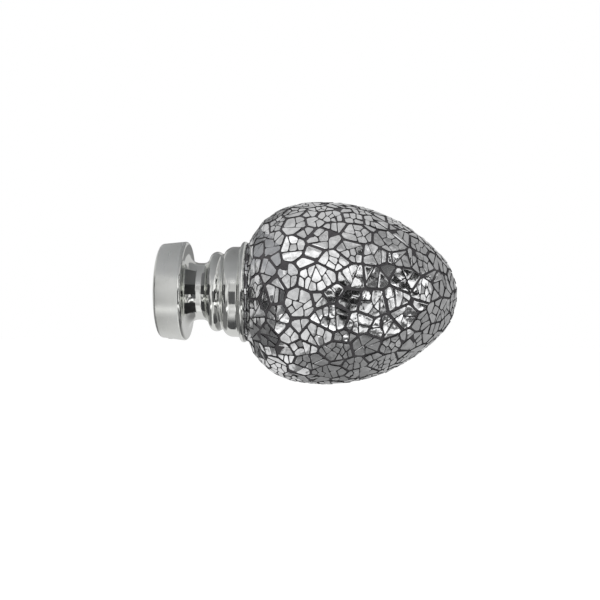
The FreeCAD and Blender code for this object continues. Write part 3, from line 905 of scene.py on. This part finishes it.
def tent_material():
    """Light as a room of panels gives it, for reflections only."""
    material = bpy.data.materials.new("tent")
    material.use_nodes = True
    tree = material.node_tree
    tree.nodes.clear()
    place = object_place(tree)
    places = tent_places(tree, place)
    ceiling = spread(tree, places["across"], *CEILING_SPAN, *CEILING, smooth=True)
    ground = spread(tree, places["lift"], *GROUND_SPAN, *GROUND, smooth=True)
    above = spread(tree, places["lift"], *HORIZON, 0.0, 1.0, smooth=True)
    light = blend_values(tree, above, ground, ceiling)
    uneven = {
        "left_side": spread(tree, places["turn"], *LEFT_SPAN, *LEFT_SIDE),
        "patches": tent_patches(tree, place),
    }
    for name, level, limits in TENT_PANELS:
        reaches = [(places[direction], *limit) for direction, limit in limits.items()]
        light = panel(tree, light, uneven.get(name, level), *reaches)
    strength = calc(tree, "MULTIPLY", light, tent_mottle(tree, place, places["turn"]))
    glow = tree.nodes.new("ShaderNodeEmission")
    tree.links.new(strength, glow.inputs["Strength"])
    output = tree.nodes.new("ShaderNodeOutputMaterial")
    tree.links.new(glow.outputs[0], output.inputs["Surface"])
    return material


def reflections_only(thing):
    """Hides a thing from all but reflections."""
    thing.visible_camera = False
    thing.visible_diffuse = False
    thing.visible_shadow = False
    thing.visible_transmission = False
    thing.visible_volume_scatter = False


def make_tent():
    """A round tent of light, which the chrome and the mirror reflect."""
    shape = bmesh.new()
    bmesh.ops.create_icosphere(shape, subdivisions=TENT_DIVISIONS, radius=TENT_RADIUS)
    mesh = bpy.data.meshes.new("tent")
    shape.to_mesh(mesh)
    shape.free()
    tent = bpy.data.objects.new("tent", mesh)
    tent.location = STAGE_MIDDLE
    bpy.context.scene.collection.objects.link(tent)
    mesh.materials.append(tent_material())
    reflections_only(tent)


def upright_card(low, high):
    """An upright card between two opposite corners, as points and faces."""
    points = (low, (high[0], high[1], low[2]), high, (low[0], low[1], high[2]))
    return [Vector(point) * MM for point in points], [(0, 1, 2, 3)]


def level_card(low, high):
    """A level card between two opposite corners, as points and faces."""
    points = (low, (high[0], low[1], low[2]), high, (low[0], high[1], low[2]))
    return [Vector(point) * MM for point in points], [(0, 1, 2, 3)]


def fan_card(low, high):
    """A fan round the front of the waist between two angles in degrees, as points and faces."""
    points = []
    for i in range(FAN_STEPS + 1):
        angle = math.radians(low + (high - low) * i / FAN_STEPS)
        for x, radius in (FAN_NEAR, FAN_FAR):
            points.append(Vector((x, -radius * math.cos(angle), radius * math.sin(angle))) * MM)
    faces = [(i, i + 1, i + 3, i + 2) for i in range(0, 2 * FAN_STEPS, 2)]
    return points, faces


def make_card(name, card, level, soft=0.0):
    """A card that only reflections see, which may fade in from its front edge."""
    points, faces = card
    mesh = bpy.data.meshes.new(name)
    mesh.from_pydata(points, [], faces)
    made = bpy.data.objects.new(name, mesh)
    bpy.context.scene.collection.objects.link(made)
    material, tree, shader = new_material(name)
    shader.inputs["Base Color"].default_value = (*(level * tint for tint in CARD_TINT), 1.0)
    shader.inputs["Roughness"].default_value = MATT
    shader.inputs["Specular IOR Level"].default_value = CARD_GLOSS
    if soft:
        parts = tree.nodes.new("ShaderNodeSeparateXYZ")
        tree.links.new(object_place(tree), parts.inputs[0])
        edge = points[0].y
        cover = spread(tree, parts.outputs["Y"], edge, edge + soft * MM, 0.0, 1.0, smooth=True)
        tree.links.new(cover, shader.inputs["Alpha"])
    mesh.materials.append(material)
    reflections_only(made)


def make_cards():
    """The cards that give the chrome its dark streaks."""
    for name, (low, high, level) in UPRIGHT_CARDS.items():
        make_card(name, upright_card(low, high), level)
    for name, (low, high, level, soft) in LEVEL_CARDS.items():
        make_card(name, level_card(low, high), level, soft)
    for number, (low, high, level) in enumerate(FAN_SPANS):
        make_card(f"fan_{number}", fan_card(low, high), level)


make_camera()
make_world()
make_floor()
make_key_light()
make_tent()
make_cards()
dress_metal()
make_grout()
make_mosaic()

bpy.context.scene.view_settings.view_transform = "Standard"
